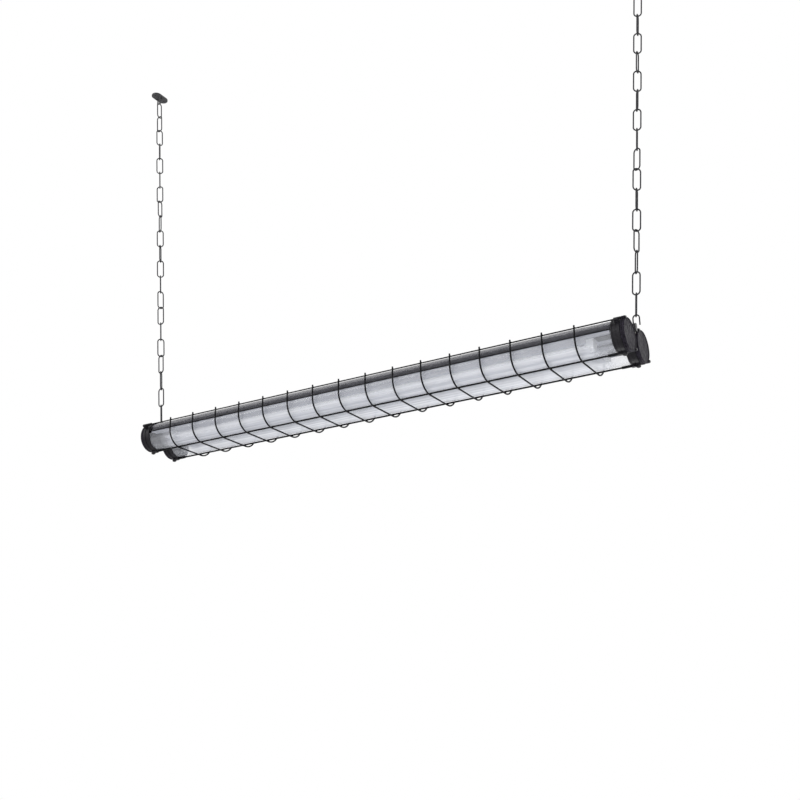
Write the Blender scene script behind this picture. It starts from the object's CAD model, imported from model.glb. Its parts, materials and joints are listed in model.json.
import json
import math

import bpy
from mathutils import Matrix, Vector


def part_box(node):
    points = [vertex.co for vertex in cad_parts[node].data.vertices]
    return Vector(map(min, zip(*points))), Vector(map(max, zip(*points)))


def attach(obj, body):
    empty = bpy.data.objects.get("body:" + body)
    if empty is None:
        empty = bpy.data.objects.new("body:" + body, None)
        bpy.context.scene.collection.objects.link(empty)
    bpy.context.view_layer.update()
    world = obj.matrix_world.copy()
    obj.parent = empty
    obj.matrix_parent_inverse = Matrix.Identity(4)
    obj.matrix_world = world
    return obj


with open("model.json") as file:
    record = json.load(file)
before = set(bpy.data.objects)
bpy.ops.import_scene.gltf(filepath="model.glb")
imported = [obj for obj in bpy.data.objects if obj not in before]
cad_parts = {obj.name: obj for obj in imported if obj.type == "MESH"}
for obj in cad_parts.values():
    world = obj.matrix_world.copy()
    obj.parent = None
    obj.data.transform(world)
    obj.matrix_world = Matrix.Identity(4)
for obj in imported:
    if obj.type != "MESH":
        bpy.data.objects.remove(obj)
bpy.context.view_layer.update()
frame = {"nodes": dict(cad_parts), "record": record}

MM = 0.001
BLACK, WHITE = (0, 0, 0, 1), (1, 1, 1, 1)

# Heights and places on the lamp that the materials follow, all from the frame
LAMP_Z = sum(corner.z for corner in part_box("glass_front")) / 2
TRAY_LOW, TRAY_HIGH = (corner.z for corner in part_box("tray_front"))
SHELL_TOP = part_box("tray_shell_front")[1].z
FROST_START, FROST_FULL = TRAY_HIGH - 2 * MM, TRAY_LOW - 2.2 * MM
CLEAR_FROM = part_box("light_tube_front")[1].x + 20 * MM
CLEAR_TO = CLEAR_FROM + 30 * MM
MILKY_FROM, MILKY_TO = LAMP_Z - 6 * MM, LAMP_Z - 30 * MM

# The camera that was fitted to the hoops and both ends, in metres and radians
CAMERA_AT = Vector((1.3827, -2.1732, -0.9185 + LAMP_Z))
CAMERA_PITCH, CAMERA_YAW, CAMERA_ROLL = 0.34026, -0.53930, -0.01038
CAMERA_F = 1135.5 / 800
SENSOR_MM = 36.0

# Section of a seam strip in mm: inwards from the tray's edge, and up from its top
STRIP_SECTION = [(-0.1, 0.4), (0.25, 0.3), (0.8, 3.2), (0.6, 3.3), (0.25, 2.6), (-0.15, 1.1)]
STRIP_END_GAP = 0.5 * MM

# Half-axes of a weld bead across and along the wire, and its places in wire radii
BEAD_THIN, BEAD_LONG = 0.8 * MM, 1.1 * MM
BEAD_WIRE, BEAD_SIDE = 1.1, 0.9
BEAD_RINGS, BEAD_SIDES = 6, 8

# Half the side of the floor, its height, and the light that it shows the camera by itself
FLOOR_SIZE, FLOOR_Z, FLOOR_GLOW = 9.0, -2.9, 0.35
# Strength of the white room as it lights the object, and as it is seen
ROOM_LIGHT, ROOM_SEEN = 0.62, 1.0
# Soft square lights: place in metres, side in metres, power in watts
LIGHTS = {
    "key": ((-1.8, -3.0, 0.4), 2.0, 50.0),
    "low": ((1.0, -2.6, -2.6), 2.2, 36.0),
    "under": ((0.2, 0.9, -2.6), 2.4, 34.0),
    "side": ((3.2, -1.2, -0.9), 1.6, 12.0),
    "rim": ((0.5, 3.0, 0.8), 2.4, 26.0),
}


def srgb(code):
    """A hex colour as the linear values that shaders take."""
    out = []
    for k in (0, 2, 4):
        c = int(code[k:k + 2], 16) / 255
        out.append(c / 12.92 if c <= 0.04045 else ((c + 0.055) / 1.055) ** 2.4)
    return (*out, 1.0)


def feed(tree, socket, value):
    """Link value into the socket if it is one itself, and set it there otherwise."""
    if isinstance(value, bpy.types.NodeSocket):
        tree.links.new(value, socket)
    else:
        socket.default_value = value


class Nodes:
    """Short calls for building one material, with places in the object's own frame in metres."""

    def __init__(self, name):
        self.mat = bpy.data.materials.new(name)
        self.mat.use_nodes = True
        self.tree = self.mat.node_tree
        self.bsdf = self.tree.nodes["Principled BSDF"]
        coords = self.tree.nodes.new("ShaderNodeTexCoord")
        self.place = coords.outputs["Object"]

    def add(self, kind, settings=None, **inputs):
        """A new node with its settings and its inputs by name."""
        node = self.tree.nodes.new("ShaderNode" + kind)
        for key, value in (settings or {}).items():
            setattr(node, key, value)
        for key, value in inputs.items():
            feed(self.tree, node.inputs[key.replace("_", " ")], value)
        return node

    def stretched(self, scale):
        """Places scaled by their own factor on each axis."""
        return self.add("Mapping", Vector=self.place, Scale=scale).outputs["Vector"]

    def noise(self, scale, detail, rough=0.55, at=None):
        """Cloudy pattern with scale spots a metre."""
        node = self.add("TexNoise", Vector=at or self.place, Scale=scale, Detail=detail, Roughness=rough)
        return node.outputs["Fac"]

    def cells(self, scale):
        """Rounded cells, scale of them a metre."""
        node = self.add("TexVoronoi", {"feature": "SMOOTH_F1"},
                        Vector=self.place, Scale=scale, Smoothness=0.35)
        return node.outputs["Distance"]

    def ramp(self, factor, low, high, start=0.3, end=0.7):
        """Colour from low to high as the factor goes from start to end."""
        node = self.add("ValToRGB", Fac=factor)
        stops = node.color_ramp.elements
        stops[0].position, stops[1].position = start, end
        stops[0].color, stops[1].color = low, high
        return node.outputs["Color"]

    def mask(self, factor, start, end):
        """From nothing to all as the factor goes from start to end."""
        return self.ramp(factor, BLACK, WHITE, start, end)

    def spread(self, factor, low, high):
        """Number from low to high over the middle of a noise."""
        return self.ranged(factor, 0.3, 0.7, low, high)

    def math(self, kind, a, b):
        """One sum, product or the like of two numbers."""
        node = self.add("Math", {"operation": kind})
        feed(self.tree, node.inputs[0], a)
        feed(self.tree, node.inputs[1], b)
        return node.outputs[0]

    def ranged(self, value, start, end, low, high):
        """From low where the value is start to high where it is end."""
        node = self.add("MapRange", Value=value, From_Min=start, From_Max=end, To_Min=low, To_Max=high)
        return node.outputs["Result"]

    def height(self, start, end, low, high):
        """From low at the height start to high at the height end, in the object's own frame."""
        z = self.add("SeparateXYZ", Vector=self.place).outputs["Z"]
        return self.ranged(z, start, end, low, high)

    def along(self, start, end, low, high):
        """From low at the distance start from the middle to high at end, the same at both ends."""
        x = self.add("SeparateXYZ", Vector=self.place).outputs["X"]
        far = self.add("Math", {"operation": "ABSOLUTE"})
        self.tree.links.new(x, far.inputs[0])
        return self.ranged(far.outputs[0], start, end, low, high)

    def mix(self, factor, low, high):
        """Colour between low and high by the factor."""
        node = self.add("Mix", {"data_type": "RGBA"})
        for number, value in ((0, factor), (6, low), (7, high)):
            feed(self.tree, node.inputs[number], value)
        return node.outputs[2]

    def bump(self, height, depth, strength, normal=None):
        """Normal of a relief that is depth high, on top of another normal if one is given."""
        node = self.add("Bump", Height=height, Distance=depth, Strength=strength)
        if normal is not None:
            self.tree.links.new(normal, node.inputs["Normal"])
        return node.outputs["Normal"]

    def soft_edges(self, radius):
        """Normal that rounds the edges by the radius."""
        return self.add("Bevel", {"samples": 4}, Radius=radius).outputs["Normal"]

    def set(self, **inputs):
        """The finished material, with the shader's inputs by name."""
        for key, value in inputs.items():
            feed(self.tree, self.bsdf.inputs[key.replace("_", " ")], value)
        return self.mat


def hammered(name, dark, light, cell_mm, depth_mm, rough, gloss):
    """Hammered paint: shallow cells with lighter crests, cloudy patches and light specks."""
    n = Nodes(name)
    cell = n.cells(1000 / cell_mm)
    blotch = n.noise(1000 / 18, 4)
    speck = n.noise(1000 / 2.6, 3, 0.7)
    base = n.mix(n.spread(blotch, 0.0, 1.0), dark, light)
    crest = n.ramp(cell, light, dark, 0.1, 0.6)
    colour = n.mix(n.mask(speck, 0.42, 0.66), n.mix(0.5, base, crest), light)
    normal = n.bump(speck, 0.12 * MM, 0.6, n.soft_edges(0.7 * MM))
    normal = n.bump(cell, depth_mm * MM, 0.9, normal)
    return n.set(Base_Color=colour, Roughness=n.spread(blotch, rough - 0.07, rough + 0.1),
                 Metallic=0.0, Specular_IOR_Level=gloss, Normal=normal)


def metal_wire(name, dark, light, rough, metallic, worn=None, gloss=0.5):
    """Wire with a thin dark coat, rubbed lighter in places."""
    n = Nodes(name)
    grain = n.noise(1000 / 6, 5, 0.6)
    colour = n.ramp(grain, dark, light)
    if worn is not None:
        rubbed = n.noise(1000 / 2.2, 6, 0.7)
        colour = n.mix(n.mask(rubbed, 0.56, 0.72), colour, worn)
    fine = n.noise(1000 / 0.8, 2)
    return n.set(Base_Color=colour, Roughness=n.spread(grain, rough - 0.1, rough + 0.12), Metallic=metallic,
                 Specular_IOR_Level=gloss, Normal=n.bump(fine, 0.06 * MM, 0.4))


def plain(name, low, high, rough, grain_mm=12, metallic=0.0, depth_mm=0.03, edge_mm=0.4, gloss=0.5):
    """Moulded, lacquered or plated surface with a faint grain."""
    n = Nodes(name)
    grain = n.noise(1000 / grain_mm, 4)
    normal = n.bump(n.noise(1000 / 0.9, 2), depth_mm * MM, 0.4, n.soft_edges(edge_mm * MM))
    return n.set(Base_Color=n.ramp(grain, low, high), Roughness=n.spread(grain, rough - 0.06, rough + 0.08),
                 Metallic=metallic, Specular_IOR_Level=gloss, Normal=normal)


def drawn_glass(name, low, high, edge, clear, milky, rough):
    """Drawn glass tube: clear round the housing, frosted below it, with faint lengthwise lines.

    A glass wall shows what it lines right up to its outline, so the clear part darkens there.
    The frost thins out past the light tube's ends and thickens towards the underside.
    """
    n = Nodes(name)
    lines = n.noise(1.0, 4, 0.62, n.stretched((1.2, 240, 240)))
    dust = n.noise(1000 / 30, 4, at=n.stretched((0.4, 1, 1)))
    facing = n.add("LayerWeight", Blend=0.5).outputs["Facing"]
    frosted = n.height(FROST_START, FROST_FULL, 0.0, 1.0)
    inner = n.along(CLEAR_FROM, CLEAR_TO, 1.0, 0.45)
    wall = n.math("MULTIPLY", n.mask(facing, 0.5, 0.66), n.height(FROST_START, FROST_FULL, 0.85, 0.0))
    rim = n.math("MULTIPLY", n.mask(facing, 0.72, 0.99), n.spread(dust, 0.25, 0.45))
    frost = n.math("MULTIPLY", n.spread(lines, 0.85, 1.15), n.height(FROST_START, FROST_FULL, clear, milky))
    under = n.height(MILKY_FROM, MILKY_TO, 1.0, 1.9)
    frost = n.math("MULTIPLY", frost, n.math("MULTIPLY", inner, under))
    haze = n.math("MAXIMUM", frost, n.math("MAXIMUM", wall, rim))
    milk = n.mix(n.mask(lines, 0.3, 0.7), low, high)
    return n.set(Base_Color=n.mix(frosted, edge, milk), Roughness=rough, Metallic=0.0, IOR=1.5, Alpha=haze,
                 Normal=n.bump(lines, 0.02 * MM, 0.25))


def shell_paint(name, low, high, rough):
    """Grey paint that is darkest along the housing's lower edges and dusty on top."""
    n = Nodes(name)
    dust = n.noise(1000 / 7, 5, 0.7, n.stretched((0.5, 1, 1)))
    level = n.math("ADD", n.height(TRAY_HIGH, SHELL_TOP, -0.1, 0.9), n.spread(dust, -0.14, 0.14))
    normal = n.bump(dust, 0.08 * MM, 0.5)
    return n.set(Base_Color=n.ramp(level, low, high, 0.0, 1.0), Roughness=n.spread(dust, rough, rough + 0.15),
                 Metallic=0.0, Specular_IOR_Level=0.3, Normal=normal)


# One material for each slot: its colours first, then what its function names next
MATERIALS = {
    "ceiling_plate": plain("ceiling_plate", srgb("2b2b2d"), srgb("38383b"), 0.5),
    "staple": metal_wire("staple", srgb("3c3c3e"), srgb("5a5a5c"), 0.42, 0.8),
    "chain": metal_wire("chain", srgb("1c1c1f"), srgb("2c2c30"), 0.45, 0.3, srgb("505053"), 0.3),
    "hook": metal_wire("hook", srgb("18181a"), srgb("2a2a2d"), 0.45, 0.3, srgb("4a4a4d"), 0.3),
    "end_frame": hammered("end_frame", srgb("09080b"), srgb("18161c"), 5.0, 0.3, 0.34, 0.22),
    "cover": hammered("cover", srgb("020203"), srgb("2e2b34"), 7.5, 1.0, 0.5, 0.06),
    "gasket": plain("gasket", srgb("0b0b0d"), srgb("151518"), 0.75, gloss=0.12),
    "screw": metal_wire("screw", srgb("121214"), srgb("232326"), 0.4, 0.2, srgb("3c3c40"), 0.3),
    "glass": drawn_glass("glass", srgb("d2d5de"), srgb("eceef4"), srgb("6b6b71"), 0.02, 0.215, 0.12),
    "guard_wire": metal_wire("guard_wire", srgb("050608"), srgb("0e0f12"), 0.5, 0.0, None, 0.1),
    "tray": plain("tray", srgb("8b8d97"), srgb("9c9fa9"), 0.38, 60),
    "tray_shell": shell_paint("tray_shell", srgb("26262c"), srgb("7c7c83"), 0.5),
    "bracket": plain("bracket", srgb("17171a"), srgb("242428"), 0.45, 8),
    "light_tube": plain("light_tube", srgb("f4f5f6"), srgb("fbfbfb"), 0.5, 80),
    "light_cap": plain("light_cap", srgb("b9babd"), srgb("d5d6d8"), 0.3, 6, 0.9),
    "lamp_holder": plain("lamp_holder", srgb("d9dcdf"), srgb("e6e8ea"), 0.3, 20),
    "driver": plain("driver", srgb("e2e2de"), srgb("efefec"), 0.4, 25),
    "gland": plain("gland", srgb("101011"), srgb("1c1c1e"), 0.45),
    "nut": metal_wire("nut", srgb("7d7b76"), srgb("a5a39e"), 0.35, 0.9),
}

slot_of = {part["node"]: part["material_slot"] for part in frame["record"]["subparts"]}
for name, obj in frame["nodes"].items():
    material = MATERIALS[slot_of[name]]
    if not obj.material_slots:
        obj.data.materials.append(material)
    for material_slot in obj.material_slots:
        material_slot.material = material


def solid(name, verts, faces, slot, body, smooth=False):
    """A piece from its own vertices and faces, in metres, in the shared frame."""
    mesh = bpy.data.meshes.new(name)
    mesh.from_pydata(verts, [], faces)
    mesh.validate()
    for polygon in mesh.polygons:
        polygon.use_smooth = smooth
    obj = bpy.data.objects.new(name, mesh)
    bpy.context.scene.collection.objects.link(obj)
    mesh.materials.append(MATERIALS[slot])
    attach(obj, body)


def swept(sections):
    """Vertices and faces that join equal rings of points, capped at both ends."""
    count, rings = len(sections[0]), len(sections)
    verts = [p for ring in sections for p in ring]
    faces = []
    for i in range(rings - 1):
        a, b = i * count, (i + 1) * count
        for k in range(count):
            m = (k + 1) % count
            faces.append((a + k, a + m, b + m, b + k))
    faces.append(tuple(reversed(range(count))))
    faces.append(tuple(range((rings - 1) * count, rings * count)))
    return verts, faces


def tray_trim():
    """Dark rubber strips that close the seams between each tray and its housing."""
    for tube in ("front", "rear"):
        low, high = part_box("tray_" + tube)
        parts = []
        for edge, inward in ((low.y, 1), (high.y, -1)):
            rings = [[(x, edge + inward * a * MM, TRAY_HIGH + b * MM) for a, b in STRIP_SECTION]
                     for x in (low.x + STRIP_END_GAP, high.x - STRIP_END_GAP)]
            parts.append(swept(rings))
        solid("tray_trim_" + tube, *gathered(parts), "gasket", "lamp")


def blob(at, size):
    """Vertices and faces of a rounded blob with half-axes size."""
    rings, sides = BEAD_RINGS, BEAD_SIDES
    verts = [(0, 0, -1)]
    for i in range(1, rings):
        a = math.pi * i / rings
        for k in range(sides):
            b = math.tau * k / sides
            verts.append((math.sin(a) * math.cos(b), math.sin(a) * math.sin(b), -math.cos(a)))
    verts.append((0, 0, 1))
    faces = []
    for k in range(sides):
        m = (k + 1) % sides
        faces.append((0, 1 + m, 1 + k))
        for i in range(rings - 2):
            a, b = 1 + i * sides, 1 + (i + 1) * sides
            faces.append((a + k, a + m, b + m, b + k))
        faces.append((1 + (rings - 2) * sides + k, 1 + (rings - 2) * sides + m, len(verts) - 1))
    placed = [tuple(at[i] + v[i] * size[i] for i in range(3)) for v in verts]
    return placed, faces


def gathered(parts):
    """One list of vertices and one of faces, from several pairs."""
    verts, faces = [], []
    for more_verts, more_faces in parts:
        faces += [tuple(i + len(verts) for i in face) for face in more_faces]
        verts += more_verts
    return verts, faces


def hoop_welds():
    """Small weld beads where each hoop crosses the two bottom rods and the two rim rods."""
    parts = []
    rods = ("bottom_rod_front", "bottom_rod_rear", "rim_rod_front", "rim_rod_rear")
    for hoop in sorted(name for name in frame["nodes"] if name.startswith("hoop_")):
        low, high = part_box(hoop)
        x, wire = (low.x + high.x) / 2, (high.x - low.x) / 2
        for rod in rods:
            start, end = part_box(rod)
            y, z = (start.y + end.y) / 2, (start.z + end.z) / 2
            if rod.startswith("bottom"):
                z = low.z + 2 * wire
                size = (BEAD_THIN, BEAD_WIRE * wire, BEAD_LONG)
            else:
                y += math.copysign((end.y - start.y) / 2, y)
                size = (BEAD_THIN, BEAD_LONG, BEAD_WIRE * wire)
            for side in (-1, 1):
                parts.append(blob((x + side * BEAD_SIDE * wire, y, z), size))
    solid("hoop_welds", *gathered(parts), "guard_wire", "lamp", smooth=True)


def floor():
    """Plain pale floor of the room, well below the lamp."""
    mesh = bpy.data.meshes.new("floor")
    corners = [(x * FLOOR_SIZE, y * FLOOR_SIZE, FLOOR_Z) for x, y in ((-1, -1), (1, -1), (1, 1), (-1, 1))]
    mesh.from_pydata(corners, [], [(0, 1, 2, 3)])
    obj = bpy.data.objects.new("floor", mesh)
    bpy.context.scene.collection.objects.link(obj)
    material = bpy.data.materials.new("floor")
    material.use_nodes = True
    tree = material.node_tree
    bsdf = tree.nodes["Principled BSDF"]
    bsdf.inputs["Base Color"].default_value = srgb("f2f2f2")
    bsdf.inputs["Roughness"].default_value = 0.9
    bsdf.inputs["Emission Color"].default_value = WHITE
    path = tree.nodes.new("ShaderNodeLightPath")
    glow = tree.nodes.new("ShaderNodeMath")
    glow.operation = "MULTIPLY"
    glow.inputs[1].default_value = FLOOR_GLOW
    tree.links.new(path.outputs["Is Camera Ray"], glow.inputs[0])
    tree.links.new(glow.outputs[0], bsdf.inputs["Emission Strength"])
    mesh.materials.append(material)


def world_and_lights():
    """White room behind the object, and soft lights of which the key, from the left, is strongest."""
    world = bpy.data.worlds.new("studio")
    bpy.context.scene.world = world
    world.use_nodes = True
    tree = world.node_tree
    background = tree.nodes["Background"]
    path = tree.nodes.new("ShaderNodeLightPath")

    def either(a, b):
        node = tree.nodes.new("ShaderNodeMath")
        node.operation = "MAXIMUM"
        tree.links.new(a, node.inputs[0])
        tree.links.new(b, node.inputs[1])
        return node.outputs[0]

    seen = either(path.outputs["Is Camera Ray"],
                  either(path.outputs["Is Glossy Ray"], path.outputs["Is Transmission Ray"]))
    level = tree.nodes.new("ShaderNodeMapRange")
    tree.links.new(seen, level.inputs["Value"])
    level.inputs["To Min"].default_value = ROOM_LIGHT
    level.inputs["To Max"].default_value = ROOM_SEEN
    tree.links.new(level.outputs["Result"], background.inputs["Strength"])
    background.inputs["Color"].default_value = WHITE
    for name, (at, size, power) in LIGHTS.items():
        data = bpy.data.lights.new(name, "AREA")
        data.size, data.energy = size, power
        light = bpy.data.objects.new(name, data)
        bpy.context.scene.collection.objects.link(light)
        light.location = at
        aim = Vector((0, 0, LAMP_Z)) - light.location
        light.rotation_euler = aim.to_track_quat("-Z", "Y").to_euler()


def photo_camera():
    """The camera that gives the photograph's frame."""
    p, y, r = CAMERA_PITCH, CAMERA_YAW, CAMERA_ROLL
    ahead = Vector((math.sin(y) * math.cos(p), math.cos(y) * math.cos(p), math.sin(p)))
    right = Vector((math.cos(y), -math.sin(y), 0))
    up = right.cross(ahead)
    right, up = right * math.cos(r) + up * math.sin(r), up * math.cos(r) - right * math.sin(r)
    data = bpy.data.cameras.new("photo_camera")
    data.sensor_width = SENSOR_MM
    data.lens = SENSOR_MM * CAMERA_F
    camera = bpy.data.objects.new("photo_camera", data)
    bpy.context.scene.collection.objects.link(camera)
    axes = Matrix((right, up, -ahead)).transposed().to_4x4()
    camera.matrix_world = Matrix.Translation(CAMERA_AT) @ axes
    bpy.context.scene.camera = camera


tray_trim()
hoop_welds()
floor()
world_and_lights()
photo_camera()
bpy.context.scene.view_settings.view_transform = "Standard"
